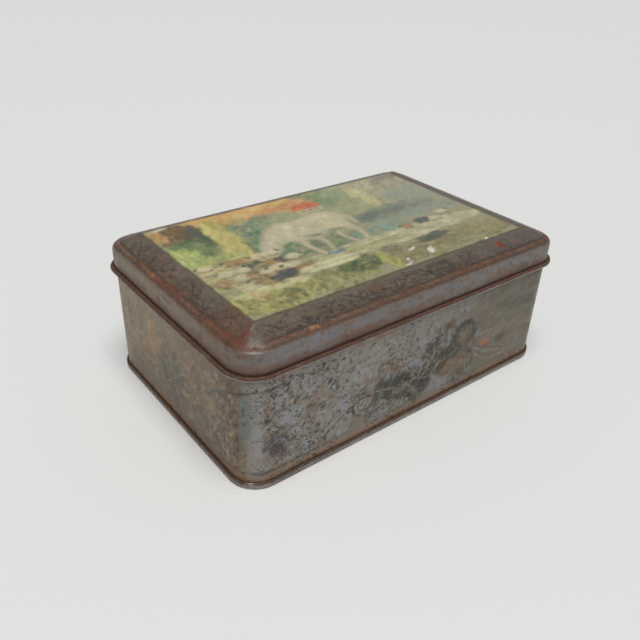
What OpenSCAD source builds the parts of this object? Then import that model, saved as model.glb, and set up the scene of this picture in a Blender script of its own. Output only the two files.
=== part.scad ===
/* [Body] */
// Length of the body over its walls
body_length = 240; // [160:1:320]
// Depth of the body over its walls, front to back
body_depth = 157; // [110:1:220]
// Height of the body's top edge above the table
body_height = 86; // [60:1:140]
// Radius of the body's upright corners
corner_radius = 16; // [12:1:24]

/* [Sheet] */
// Thickness of the tinplate
sheet = 0.35; // [0.3:0.01:0.4]
// Gap between the layers of a folded seam
layer_gap = 0.1; // [0.06:0.01:0.12]

/* [Bottom seam] */
// Height of the seam that joins the bottom to the wall
seam_height = 4.2; // [3.4:0.1:5]
// Height of the bottom panel's underside above the table
bottom_recess = 3; // [2.6:0.1:3.2]
// How far the middle of the bottom panel is stamped up
bottom_step = 0.6; // [0.2:0.1:1]

/* [Lid] */
// Height of the lid's flat top above the body's top edge
lid_rise = 7.4; // [7:0.1:12]
// Distance from the lid's flat top down to the crease in its sloping border
crease_drop = 4.7; // [4:0.1:5]
// Distance of that crease inside the body's wall plane
crease_inset = 4.4; // [4:0.1:6]
// Slope of the border outside the crease, in degrees
border_slope = 27; // [22:1:32]
// Radius of the lid's shoulder
shoulder_radius = 2.2; // [1.8:0.1:2.6]
// Gap between the body's wall and the inside of the lid's skirt
skirt_gap = 0.7; // [0.65:0.01:0.9]
// Distance from the body's top edge down to the wire in the lid's rim
wire_drop = 13.4; // [10:0.1:13.4]

/* [Wire and hinge] */
// Diameter of the wire in the lid's rolled rim
wire_diameter = 2.06; // [1.8:0.02:2.4]
// Radial gap between the wire and the rim rolled round it
rim_gap = 0.02; // [0.015:0.005:0.03]
// Radial gap between the wire and the hinge straps
hinge_gap = 0.04; // [0.02:0.01:0.06]
// Distance from the middle of the back to each hinge strap
strap_offset = 68; // [50:1:80]
// Width of each hinge strap
strap_width = 14; // [10:0.5:20]
// Length of the flat part of a strap that is soldered to the wall
strap_leaf = 11; // [8:0.5:16]

/* [Hidden] */
$fn = 96;

// Outlines are drawn in a plane that cuts the wall squarely. The first coordinate is the distance
// outwards from the body's wall plane, and the second is the height above the table.
// Everything flat starts where the centre of the corner radius lies.
flat_edge = -corner_radius;

lid_top = body_height + lid_rise;
wire_radius = wire_diameter / 2;
skirt_face = skirt_gap + sheet;
roll_radius = wire_radius + rim_gap;
wire_out = skirt_face + roll_radius;
wire_height = body_height - wire_drop;
rim_reach = wire_out + roll_radius + sheet;

// Middle lines of the seam's layers, from the inside out
chuck_line = -1.5 * sheet - layer_gap;
wall_line = -sheet / 2;
end_hook_line = layer_gap + sheet / 2;
body_hook_line = end_hook_line + sheet + layer_gap;
seam_line = body_hook_line + sheet + layer_gap;
floor_line = bottom_recess + sheet / 2;

function turn(centre, radius, from, to, steps = 6) =
    [for (k = [0 : steps]) let (a = from + (to - from) * k / steps) centre + radius * [cos(a), sin(a)]];

function left_of(v) = [-v[1], v[0]] / norm(v);

function side_normal(path, i) =
    let (last = len(path) - 1,
         before = left_of(path[max(i, 1)] - path[max(i, 1) - 1]),
         after = left_of(path[min(i, last - 1) + 1] - path[min(i, last - 1)]))
    (before + after) / (1 + before * after);

function beside(path, distance) =
    [for (i = [0 : len(path) - 1]) path[i] + distance * side_normal(path, i)];

function reversed(list) = [for (i = [len(list) - 1 : -1 : 0]) list[i]];

// Outline of a sheet that follows its middle line
function sheet_outline(path) = concat(beside(path, sheet / 2), reversed(beside(path, -sheet / 2)));

// Carries an outline round the tin: four straight runs and four corners
module round_the_tin(outline) {
    for (k = [0 : 3]) {
        half = k % 2 == 0 ? body_length / 2 : body_depth / 2;
        run = (k % 2 == 0 ? body_depth : body_length) - 2 * corner_radius;
        rotate([0, 0, 90 * k]) {
            translate([half, run / 2, 0]) rotate([90, 0, 0]) linear_extrude(run) polygon(outline);
            translate([half - corner_radius, run / 2, 0]) rotate_extrude(angle = 90)
                translate([corner_radius, 0]) polygon(outline);
        }
    }
}

// The flat middle of a stamped sheet, whose corners are the corner centres
module flat_middle(underside) {
    size_x = body_length - 2 * corner_radius;
    size_y = body_depth - 2 * corner_radius;
    translate([-size_x / 2, -size_y / 2, underside]) cube([size_x, size_y, sheet]);
}

// Wall line, from the hook in the bottom seam up to the folded top edge
hook_bend = sheet / 2 + 0.075;
hook_base = sheet * 1.5 + layer_gap;
hem_bend = (sheet + layer_gap) / 2;
hem_depth = 3;
hem_centre = body_height - hem_bend - sheet / 2;
wall_path = concat(
    [[body_hook_line, seam_height - 0.9]],
    turn([body_hook_line - hook_bend, hook_base + hook_bend], hook_bend, 0, -90),
    turn([wall_line + hook_bend, hook_base + hook_bend], hook_bend, -90, -180),
    turn([wall_line - hem_bend, hem_centre], hem_bend, 0, 180, 8),
    [[wall_line - 2 * hem_bend, hem_centre - hem_depth]]
);

side_seam_width = 5;
side_seam_thickness = 2 * sheet;
side_seam_line = 0.3;
side_seam_line_depth = 0.12;

// Body wall: one sheet bent round the tin, with a flat lock seam down the middle of the back
module body_wall() {
    back = body_depth / 2;
    seam_foot = floor_line + 2;
    seam_top = hem_centre - hem_depth - 0.5;
    color("#716f69") difference() {
        union() {
            round_the_tin(sheet_outline(wall_path));
            translate([-side_seam_width / 2, back - sheet - side_seam_thickness, seam_foot])
                cube([side_seam_width, side_seam_thickness + sheet / 2, seam_top - seam_foot]);
        }
        translate([side_seam_width / 2, back - side_seam_line_depth, seam_height + 0.2])
            cube([side_seam_line, 1, wire_height - 4 - seam_height]);
    }
}

// Bottom panel: hooked round the wall's lower edge, then up and across as the floor
module bottom_panel() {
    base_bend = sheet / 2 + 0.325;
    base_line = sheet / 2;
    top_bend = (sheet + layer_gap);
    top_centre = seam_height - top_bend - sheet / 2;
    floor_bend = 0.575;
    step_run = 1.5;
    step_start = -corner_radius + 7;
    path = concat(
        [[end_hook_line, hook_base + sheet / 2 + 0.15]],
        turn([body_hook_line, top_centre], top_bend, 180, 0, 12),
        turn([seam_line - base_bend, base_line + base_bend], base_bend, 0, -90),
        turn([chuck_line + base_bend, base_line + base_bend], base_bend, -90, -180),
        turn([chuck_line - floor_bend, floor_line - floor_bend], floor_bend, 0, 90),
        [[step_start, floor_line], [step_start - step_run, floor_line + bottom_step]],
        [[flat_edge, floor_line + bottom_step]]
    );
    color("#8a8780") {
        round_the_tin(sheet_outline(path));
        flat_middle(bottom_recess + bottom_step);
    }
}

// Lid: flat top, sloping border with a crease, shoulder, skirt, and the rim rolled round the wire
module lid_shell() {
    crease = [-crease_inset, lid_top - crease_drop];
    shoulder_angle = 90 - border_slope;
    shoulder_x = skirt_face - shoulder_radius;
    shoulder_end = shoulder_x + shoulder_radius * cos(shoulder_angle);
    shoulder_z = crease[1] - (shoulder_end - crease[0]) * tan(border_slope)
        - shoulder_radius * sin(shoulder_angle);
    face = concat(
        [[flat_edge, lid_top], crease],
        turn([shoulder_x, shoulder_z], shoulder_radius, shoulder_angle, 0, 7),
        turn([wire_out, wire_height], roll_radius, 180, 490, 21)
    );
    inside = reversed(beside(face, -sheet));
    outline = concat(face, [for (i = [0 : len(inside) - 2]) inside[i]], [[flat_edge, lid_top - sheet]]);
    notch_width = strap_width + 1;
    notch_top = wire_height + 1.9;
    color("#6a5c54") difference() {
        union() {
            round_the_tin(outline);
            flat_middle(lid_top - sheet);
        }
        for (side = [-1, 1])
            translate([side * strap_offset - notch_width / 2, body_depth / 2 + skirt_gap - 0.2, wire_height - 3])
                cube([notch_width, rim_reach, notch_top - wire_height + 3]);
    }
}

// Wire that stiffens the lid's rim and is bare where the hinge straps hold it
module lid_wire() {
    color("#5b4a40") for (k = [0 : 3]) {
        half = k % 2 == 0 ? body_length / 2 : body_depth / 2;
        run = (k % 2 == 0 ? body_depth : body_length) - 2 * corner_radius;
        rotate([0, 0, 90 * k]) {
            translate([half + wire_out, run / 2, wire_height]) rotate([90, 0, 0])
                cylinder(h = run, r = wire_radius);
            translate([half - corner_radius, run / 2, wire_height]) rotate_extrude(angle = 90)
                translate([corner_radius + wire_out, 0]) circle(r = wire_radius);
        }
    }
}

// Hinge strap: a leaf soldered to the back wall, cranked out and rolled round the wire
module hinge_strap(centre_x) {
    bore = wire_radius + hinge_gap;
    bore_allowance = 0.03;
    loop_inner = bore - bore_allowance;
    loop_outer = roll_radius + sheet;
    thickness = loop_outer - loop_inner;
    loop_line = (loop_inner + loop_outer) / 2;
    crank_top = wire_height - 1.5;
    crank_foot = wire_height - 3.4;
    path = concat(
        [[thickness / 2, crank_foot - strap_leaf], [thickness / 2, crank_foot]],
        [[wire_out - loop_line, crank_top]],
        turn([wire_out, wire_height], loop_line, 180, -130, 31)
    );
    translate([centre_x - strap_width / 2, body_depth / 2, 0]) rotate([90, 0, 90])
        color("#75624f") linear_extrude(strap_width) difference() {
            polygon(concat(beside(path, thickness / 2), reversed(beside(path, -thickness / 2))));
            translate([wire_out, wire_height]) circle(r = bore);
        }
}

module hinge_strap_left() {
    hinge_strap(-strap_offset);
}

module hinge_strap_right() {
    hinge_strap(strap_offset);
}

body_wall();
bottom_panel();
lid_shell();
lid_wire();
hinge_strap_left();
hinge_strap_right();
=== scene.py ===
import math

import bmesh
import bpy
import numpy as np
from mathutils import Matrix, Vector


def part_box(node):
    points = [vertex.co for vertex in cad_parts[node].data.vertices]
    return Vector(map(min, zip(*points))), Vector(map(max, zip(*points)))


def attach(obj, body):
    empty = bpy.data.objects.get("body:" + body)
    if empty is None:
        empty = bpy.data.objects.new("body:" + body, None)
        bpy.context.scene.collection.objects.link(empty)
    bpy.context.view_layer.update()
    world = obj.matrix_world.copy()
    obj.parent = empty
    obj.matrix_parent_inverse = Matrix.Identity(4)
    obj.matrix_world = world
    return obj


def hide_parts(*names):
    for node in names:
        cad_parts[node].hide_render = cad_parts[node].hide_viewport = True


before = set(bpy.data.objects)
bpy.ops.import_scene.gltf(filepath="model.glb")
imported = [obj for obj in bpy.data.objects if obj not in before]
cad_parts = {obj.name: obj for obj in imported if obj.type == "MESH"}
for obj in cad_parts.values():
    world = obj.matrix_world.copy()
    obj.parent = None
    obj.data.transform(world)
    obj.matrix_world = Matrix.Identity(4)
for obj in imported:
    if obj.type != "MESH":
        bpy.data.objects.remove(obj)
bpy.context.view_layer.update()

# Every size in this file is in millimetres until a mesh or an object is made.
MM = 0.001

# ---------------------------------------------------------------- sizes, from the frame

SHEET = 0.35
LAYER_GAP = 0.1
CORNER = 16.0
SKIRT_GAP = 0.7
RIM_GAP = 0.02

wire_low, wire_high = (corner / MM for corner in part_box("lid_wire"))
strap_low, strap_high = (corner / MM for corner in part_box("hinge_strap_right"))

WIRE_RADIUS = (wire_high.z - wire_low.z) / 2
WIRE_HEIGHT = (wire_high.z + wire_low.z) / 2
SKIRT_FACE = SKIRT_GAP + SHEET
ROLL_RADIUS = WIRE_RADIUS + RIM_GAP
WIRE_OUT = SKIRT_FACE + ROLL_RADIUS
HALF_X = wire_high.x - WIRE_RADIUS - WIRE_OUT
HALF_Y = wire_high.y - WIRE_RADIUS - WIRE_OUT
FLAT_X = HALF_X - CORNER
FLAT_Y = HALF_Y - CORNER
BODY_TOP = (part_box("body_wall")[1] / MM).z
LID_TOP = (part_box("lid_shell")[1] / MM).z
CORNER_ARC = math.pi / 2 * CORNER
AROUND = 4 * (FLAT_X + FLAT_Y + CORNER_ARC)
STRAP_ROOM = 0.5
NOTCH_INNER = strap_low.x - STRAP_ROOM
NOTCH_OUTER = strap_high.x + STRAP_ROOM
NOTCH_RISE = 1.9
NOTCH_TOP = WIRE_HEIGHT + NOTCH_RISE
SEAM_TOP = 4.2  # of the bottom's double seam
HEM_DROP = 3  # how far the wall's hem reaches down inside
LOCK_SEAM = 2.5
LOCK_SEAM_ENDS = (SEAM_TOP + 1.0, BODY_TOP - 4.0)
CREASE = (-4.4, LID_TOP - 4.7)
SHOULDER_RADIUS = 2.2
SHOULDER_ANGLE = 63
SHOULDER = (SKIRT_FACE - SHOULDER_RADIUS, LID_TOP - 8.825)
CREASE_INSIDE = (CREASE[0] - 0.145, CREASE[1] - 0.318)

# How finely the meshes are stepped, and where their edges are kept sharp.
LID_STEP, LID_CORNER_STEPS, WALL_CORNER_STEPS = 0.9, 15, 20
WALL_RIGHT_STEP, WALL_BACK_STEP, WALL_LEFT_STEP, WALL_FRONT_STEP, WALL_ROW_STEP = 1.2, 1.4, 0.9, 0.72, 0.98
MERGE_DISTANCE = 0.002
SHARP_ANGLE = 38

# Handling marks: how deep the lid's top sinks, how much that changes, and how far the sheets wave.
DENT, DENT_CHANGE, LID_WAVE, WALL_WAVE = 0.16, 0.1, 0.1, 0.13
RING = 300

# Dots per millimetre of the paintings. The border's canvas starts at the picture's edge, and its
# skirt begins that far down.
PICTURE_DOTS, PRINT_DOTS = 2.5, 2
SKIRT_START = 15.8

FLOOR_REACH = 15


# ---------------------------------------------------------------- camera

def make_camera():
    azimuth, elevation, roll = math.radians(-38.9), math.radians(31.31), math.radians(2.23)
    target, distance = Vector((-21.07, -10.6, 40.0)), 432.39
    back = Vector((math.sin(azimuth) * math.cos(elevation), -math.cos(azimuth) * math.cos(elevation),
                   math.sin(elevation)))
    level = (-back).cross(Vector((0, 0, 1))).normalized()
    upward = level.cross(-back)
    right = math.cos(roll) * level + math.sin(roll) * upward
    up = math.cos(roll) * upward - math.sin(roll) * level
    place = Matrix((right, up, back)).transposed().to_4x4()
    place.translation = (target + back * distance) * MM
    lens = bpy.data.cameras.new("camera")
    lens.sensor_width = 36
    lens.lens = 38.217
    lens.clip_start = 0.01
    camera = bpy.data.objects.new("camera", lens)
    camera.matrix_world = place
    bpy.context.collection.objects.link(camera)
    bpy.context.scene.camera = camera


# ---------------------------------------------------------------- outlines and meshes

def arc(centre, radius, start, end, steps):
    angle = np.radians(np.linspace(start, end, steps + 1))
    return np.stack([centre[0] + radius * np.cos(angle), centre[1] + radius * np.sin(angle)], 1)


def run(start, end, spacing):
    """Evenly spaced points on a straight line."""
    start, end = np.array(start, float), np.array(end, float)
    steps = max(1, round(float(np.linalg.norm(end - start)) / spacing))
    return start + (end - start) * np.linspace(0, 1, steps + 1)[:, None]


def joined(*parts):
    """Runs and arcs in one row of points, without the repeated ends."""
    points = np.concatenate(parts)
    step = np.linalg.norm(np.diff(points, axis=0), axis=1)
    return points[np.concatenate([[True], step > 1e-4])]


def stations(stops, spacing):
    """Positions along a side: every stop, and even steps between them."""
    spans = [np.linspace(a, b, max(1, round((b - a) / spacing)) + 1)[:-1]
             for a, b in zip(stops, stops[1:])]
    return np.concatenate(spans + [[stops[-1]]])


def columns_round(right, back, left, front, corner_steps):
    """Corner centre or side point, and outward direction, of each column round the tin, from the
    places of the columns along each side. A corner follows each side."""
    sides = [(np.full(len(right), FLAT_X), right), (back[::-1], np.full(len(back), FLAT_Y)),
             (np.full(len(left), -FLAT_X), left[::-1]), (front, np.full(len(front), -FLAT_Y))]
    base, angle = [], []
    for k, (x, y) in enumerate(sides):
        base += list(zip(x, y))
        angle += [90 * k] * len(x)
        base += [(x[-1], y[-1])] * (corner_steps - 1)
        angle += list(90 * k + 90 * np.arange(1, corner_steps) / corner_steps)
    angle = np.radians(angle)
    return np.array(base), np.stack([np.cos(angle), np.sin(angle)], 1)


def swept(base, out, rows):
    """One vertex for every row and column. A row is (distance outside the wall plane, height)."""
    rows = np.asarray(rows)
    flat = base[None] + out[None] * (rows[:, 0, None, None] + CORNER)
    height = np.broadcast_to(rows[:, 1, None, None], flat.shape[:2] + (1,))
    return np.concatenate([flat, height], 2).reshape(-1, 3)


def bands(row_count, column_count, closed):
    """Quads between neighbouring rows, all the way round."""
    top = np.arange(row_count if closed else row_count - 1)
    low = (top + 1) % row_count
    here = np.arange(column_count)
    there = (here + 1) % column_count
    corners = [(top, here), (low, here), (low, there), (top, there)]
    return np.stack([r[:, None] * column_count + c[None] for r, c in corners], 2)


def make_object(name, vertices, faces, materials, shape):
    """faces is a list of (corner numbers, material number). shape moves the finished vertices."""
    mesh = bpy.data.meshes.new(name)
    mesh.from_pydata([tuple(v) for v in vertices * MM], [], [list(f) for f, _ in faces])
    mesh.polygons.foreach_set("material_index", [m for _, m in faces])
    work = bmesh.new()
    work.from_mesh(mesh)
    bmesh.ops.delete(work, geom=[v for v in work.verts if not v.link_faces], context="VERTS")
    bmesh.ops.remove_doubles(work, verts=work.verts, dist=MERGE_DISTANCE * MM)
    bmesh.ops.recalc_face_normals(work, faces=work.faces)
    work.to_mesh(mesh)
    work.free()
    for material in materials:
        mesh.materials.append(material)
    mesh.polygons.foreach_set("use_smooth", [True] * len(mesh.polygons))
    mesh.set_sharp_from_angle(angle=math.radians(SHARP_ANGLE))
    for polygon in mesh.polygons:
        if polygon.loop_total > 4:
            for corner in polygon.loop_indices:
                mesh.edges[mesh.loops[corner].edge_index].use_edge_sharp = True
    mesh.vertices.foreach_set("co", (shape(positions(mesh)) * MM).ravel())
    mesh.update()
    piece = bpy.data.objects.new(name, mesh)
    bpy.context.collection.objects.link(piece)
    return piece


def positions(mesh):
    place = np.zeros(len(mesh.vertices) * 3, np.float32)
    mesh.vertices.foreach_get("co", place)
    return place.reshape(-1, 3).astype(float) / MM


def unroll(x, y):
    """Distance along the wall line from the middle of the front, positive to the right, and
    distance outside the wall plane."""
    side = np.where(x < 0, -1.0, 1.0)
    near_x, near_y = np.clip(np.abs(x), 0, FLAT_X), np.clip(y, -FLAT_Y, FLAT_Y)
    away_x, away_y = np.abs(x) - near_x, y - near_y
    turned = np.arctan2(away_y, away_x) + math.pi / 2
    turned = np.where(away_x < 1e-6, np.where(y < 0, 0.0, math.pi), turned)
    along_x = np.where(turned < math.pi / 2 - 1e-6, near_x, 2 * FLAT_X - near_x)
    along = CORNER * turned + along_x + near_y + FLAT_Y
    return side * along, np.hypot(away_x, away_y) - CORNER


def round_the_tin(along):
    """Places along the wall line bent to a circle, so that noise meets itself after one turn."""
    turn = 2 * math.pi * along / AROUND
    return np.cos(turn) * RING, np.sin(turn) * RING


def bulged(x, y, z, out, amount):
    """Points pushed out of the corners' or sides' own middle by that many millimetres."""
    grow = 1 + amount / np.maximum(out + CORNER, 1)
    near_x, near_y = np.clip(x, -FLAT_X, FLAT_X), np.clip(y, -FLAT_Y, FLAT_Y)
    return np.stack([near_x + (x - near_x) * grow, near_y + (y - near_y) * grow, z], 1)


def away(x, y, far, degrees):
    """The point that far from another one, in that direction."""
    turn = math.radians(degrees)
    return x + far * math.cos(turn), y + far * math.sin(turn)


def left_side(y):
    """Place along the wall line of a point on the left side."""
    return -(FLAT_X + CORNER_ARC + FLAT_Y + y)


# ---------------------------------------------------------------- noise and colour

def smooth_noise(x, y, cell, seed):
    """Smooth random field between -1 and 1, whose hills are about one cell wide."""
    table = np.random.default_rng(seed).uniform(-1, 1, (256, 256))
    x, y = np.asarray(x) / cell + 1000, np.asarray(y) / cell + 1000
    col, row = np.floor(x).astype(int), np.floor(y).astype(int)
    part_x, part_y = x - col, y - row
    part_x, part_y = part_x ** 2 * (3 - 2 * part_x), part_y ** 2 * (3 - 2 * part_y)
    col, row, col2, row2 = col % 256, row % 256, (col + 1) % 256, (row + 1) % 256
    low = table[row, col] * (1 - part_x) + table[row, col2] * part_x
    high = table[row2, col] * (1 - part_x) + table[row2, col2] * part_x
    return low * (1 - part_y) + high * part_y


def fractal(x, y, cell, seed, layers=3):
    total = sum(smooth_noise(x, y, cell / 2 ** k, seed + k) / 2 ** k for k in range(layers))
    return total / (2 - 2 ** (1 - layers))


def linear(colour):
    """Light values of a colour written as six hexadecimal digits."""
    value = np.array([int(colour[k:k + 2], 16) / 255 for k in (0, 2, 4)])
    return np.where(value <= 0.04045, value / 12.92, ((value + 0.055) / 1.055) ** 2.4)


def ease(value, start, end):
    part = np.clip((np.asarray(value, float) - start) / (end - start), 0, 1)
    return part * part * (3 - 2 * part)


class Canvas:
    """A flat painting with millimetre coordinates. wobble shakes its outlines when it is read."""

    def __init__(self, left, right, bottom, top, per_mm, colour, seed, wobble=0.0):
        self.left, self.bottom, self.per_mm, self.wobble = left, bottom, per_mm, wobble
        self.x, self.y = np.meshgrid(np.arange(left, right, 1 / per_mm),
                                     np.arange(bottom, top, 1 / per_mm))
        self.rgb = np.empty(self.x.shape + (3,))
        self.rgb[:] = linear(colour)
        self.chance = np.random.default_rng(seed)

    def lay(self, mask, colour, window=np.s_[:, :]):
        part = self.rgb[window]
        part += np.clip(mask, 0, 1)[..., None] * (linear(colour) - part)

    def wash(self, x, y, across, high, colour, strength, ragged, seed):
        """A broad soft patch. ragged breaks up its edge."""
        far = np.hypot((self.x - x) / across, (self.y - y) / high)
        far += ragged * fractal(self.x, self.y, min(across, high) * 0.6 + 2, seed)
        self.lay(strength * ease(far, 1.15, 0.5), colour)

    def dab(self, x, y, length, width, angle, colour, strength, soft=0.45):
        """One touch of the brush."""
        reach = max(length, width) * 0.6 + 1
        row, col = (slice(*np.clip([int((middle - reach - start) * self.per_mm),
                                    int((middle + reach - start) * self.per_mm) + 1], 0, dots))
                    for middle, start, dots in zip((y, x), (self.bottom, self.left), self.x.shape))
        dx, dy = self.x[row, col] - x, self.y[row, col] - y
        cos, sin = math.cos(math.radians(angle)), math.sin(math.radians(angle))
        far = np.hypot((dx * cos + dy * sin) * 2 / length, (dy * cos - dx * sin) * 2 / width)
        self.lay(strength * ease(far, 1 + soft, 1 - soft), colour, (row, col))

    def fill(self, x, y, across, high, colours, size, count, angle, spread, strength, tilt=0.0):
        """Many touches over an ellipse. size is (length, width) of a touch, tilt turns the ellipse."""
        turn, colours = math.radians(tilt), colours.split()
        for _ in range(count):
            far, way = math.sqrt(self.chance.uniform()), self.chance.uniform(0, 2 * math.pi)
            along, aside = across * far * math.cos(way), high * far * math.sin(way)
            grow = self.chance.uniform(0.6, 1.3)
            self.dab(x + along * math.cos(turn) - aside * math.sin(turn),
                     y + along * math.sin(turn) + aside * math.cos(turn),
                     size[0] * grow, size[1] * grow, angle + self.chance.uniform(-spread, spread),
                     colours[self.chance.integers(len(colours))], strength * self.chance.uniform(0.6, 1.0))

    def line(self, points, width, colour, strength, broken=0.0):
        """A drawn line through the points. broken leaves that share of it out."""
        path = curve_through(points, 0.5 * width)
        for (x, y), (x2, y2) in zip(path, path[1:]):
            if self.chance.uniform() >= broken:
                way = math.degrees(math.atan2(y2 - y, x2 - x))
                self.dab(x, y, 1.3 * width, width, way, colour, strength)

    def shape(self, points, colour, strength=1.0, soft=0.8):
        """A filled outline through the points, with a soft edge."""
        path = curve_through(list(points) + [points[0]], 1.5)
        near, inside = np.full(self.x.shape, 1e9), np.zeros(self.x.shape, bool)
        for (x, y), (x2, y2) in zip(path, path[1:]):
            dx, dy = x2 - x, y2 - y
            along = np.clip(((self.x - x) * dx + (self.y - y) * dy) / (dx * dx + dy * dy + 1e-9), 0, 1)
            near = np.minimum(near, np.hypot(self.x - x - along * dx, self.y - y - along * dy))
            if abs(dy) > 1e-9:
                crosses = ((y > self.y) != (y2 > self.y)) & (self.x < dx * (self.y - y) / dy + x)
                inside ^= crosses
        self.lay(strength * ease(np.where(inside, near, -near), -soft, soft), colour)

    def streak(self, field, strength, where, light, dark):
        """Lighten the painting where a random field is high, and darken it where it is low."""
        self.lay(strength * ease(field, 0.02, 0.5) * where, light)
        self.lay(strength * ease(-field, 0.05, 0.5) * where, dark)

    def wear(self, ground, size, seed, least, level):
        """Bring an earlier state of the painting back in patches. least of the new one stays there."""
        patches = ease(fractal(self.x, self.y, size, seed, 4), level - 0.35, level + 0.15)
        keep = least + (1 - least) * patches
        self.rgb = ground + (self.rgb - ground) * keep[..., None]

    def at(self, x, y):
        """Colours at the given places, blended from the four nearest dots."""
        if self.wobble:
            x, y = (v + self.wobble * fractal(x, y, 3.5, seed) for v, seed in ((x, 91), (y, 92)))
        col = np.clip((x - self.left) * self.per_mm, 0, self.x.shape[1] - 1.001)
        row = np.clip((y - self.bottom) * self.per_mm, 0, self.x.shape[0] - 1.001)
        c, r = col.astype(int), row.astype(int)
        part_c, part_r = (col - c)[:, None], (row - r)[:, None]
        low = self.rgb[r, c] * (1 - part_c) + self.rgb[r, c + 1] * part_c
        high = self.rgb[r + 1, c] * (1 - part_c) + self.rgb[r + 1, c + 1] * part_c
        return low * (1 - part_r) + high * part_r


def curve_through(points, spacing):
    """Evenly spaced points on a smooth curve through the given ones."""
    points = np.array(points, float)
    if len(points) > 2:
        before, after = 2 * points[0] - points[1], 2 * points[-1] - points[-2]
        p = np.vstack([before, points, after])
        t = np.linspace(0, 1, 12, endpoint=False)[:, None]
        spans = []
        for a, b, c, d in zip(p, p[1:], p[2:], p[3:]):
            spans.append(b + 0.5 * t * (c - a) + t ** 2 * (a - 2.5 * b + 2 * c - 0.5 * d)
                         + t ** 3 * (1.5 * (b - c) + 0.5 * (d - a)))
        points = np.vstack(spans + [points[-1:]])
    step = np.linalg.norm(np.diff(points, axis=0), axis=1)
    walked = np.concatenate([[0], np.cumsum(step)])
    wanted = np.linspace(0, walked[-1], max(2, int(walked[-1] / spacing) + 1))
    return np.stack([np.interp(wanted, walked, points[:, k]) for k in (0, 1)], 1)


# ---------------------------------------------------------------- the print on the lid

def draw_horse(art, x, y):
    """A pale horse that grazes by the path, seen from its left. x and y place the middle of its belly."""
    def put(points):
        return [(x + across, y + up) for across, up in points]

    legs = (([(20, 8), (24, -7), (20, -23)], 1.0), ([(14, 6), (10, -7), (13, -21)], 0.6),
            ([(-14, 6), (-17, -8), (-14, -24)], 1.0), ([(-7, 5), (-4, -8), (-7, -21)], 0.6))
    for points, strength in legs:
        art.line(put(points[:2]), 7.5, "b2a681", 0.85 * strength)
        art.line(put(points), 4.2, "aca07c", 0.9 * strength)
        art.line(put(points), 1.8, "c4b892", 0.5 * strength)
    art.line(put([(25, 23), (31, 14), (30, 1)]), 4, "b4a882", 0.7)
    art.shape(put([(-17, 29), (-4, 26), (14, 29), (25, 25), (28, 13), (23, 0), (12, 1), (1, -3), (-11, -2),
                   (-20, 1), (-27, 0), (-35, -7), (-43, -16), (-48, -13), (-44, 1), (-37, 12), (-28, 23)]),
              "beb28c", 0.9, 2.2)
    art.fill(x + 16, y + 14, 10, 11, "ccc09b c4b78f b9ab84", (7, 3), 60, 80, 40, 0.4)
    art.fill(x - 12, y + 13, 10, 12, "cdc19d c2b690 b9ac85", (7, 3), 56, 70, 40, 0.4)
    art.fill(x - 31, y + 8, 13, 5, "c6ba97 b6a985 cabf9d", (6, 2.4), 40, 48, 25, 0.4, tilt=46)
    art.fill(x + 2, y + 1, 15, 2.8, "8d8866 9a9672 7c8262", (6, 2.2), 40, 5, 25, 0.6)
    art.line(put([(-17, 29), (-27, 23), (-37, 11)]), 3, "9f9474", 0.6, 0.2)
    art.dab(x - 45, y - 12, 4, 2.6, 50, "857a5e", 0.6)
    art.dab(x + 17, y + 22, 10, 4.5, -10, "d8cdaa", 0.5)
    art.dab(x - 12, y + 21, 9, 5, 30, "d6cba8", 0.4)


def draw_cottage(art, x, y, width):
    """A far cottage under a red roof."""
    high = width * 0.42
    wall, eave, ridge = width * 0.5, width * 0.62, width * 0.4
    art.shape([(x - wall, y), (x - wall, y + high), (x + wall, y + high), (x + wall, y)], "b8a67e", 0.8)
    art.shape([(x - eave, y + high * 0.8), (x - ridge, y + high * 1.9), (x + ridge, y + high * 1.9),
               (x + eave, y + high * 0.8)], "bc6440", 0.9)
    art.fill(x, y + high * 1.35, width * 0.46, high * 0.45, "c87048 a8543a cc8458 b45c3c", (4.6, 1.8), 44,
             8, 14, 0.6)
    art.dab(x + width * 0.25, y + high * 2.05, 3.6, 2.4, 90, "8c6450", 0.8)
    for shift in (-0.26, 0.04, 0.3):
        art.dab(x + shift * width, y + high * 0.42, 3.0, 2.0, 90, "5f5a50", 0.7)


def draw_sheep(art, x, y, size, wool, face):
    """A sheep in a few touches. A negative size turns it round."""
    high = abs(size)
    for foot in (-3, -1.8, 2, 3.2):
        art.line([(x + foot * size, y - high), (x + foot * size, y - 4.2 * high)], 1.0 * high, face, 0.55)
    art.dab(x, y - 3.4 * high, 9.5 * high, 2.2 * high, 0, "6e6548", 0.5)
    art.dab(x, y, 9.5 * high, 6.2 * high, 0, wool.split()[0], 0.9)
    art.fill(x, y + 0.6 * high, 3.8 * high, 2.2 * high, wool, (2.6 * high, 1.6 * high), 9, 20, 60, 0.6)
    art.dab(x + 5.2 * size, y + 1.2 * high, 3.2 * high, 2.2 * high, -40 * size / high, face, 0.85)


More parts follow.
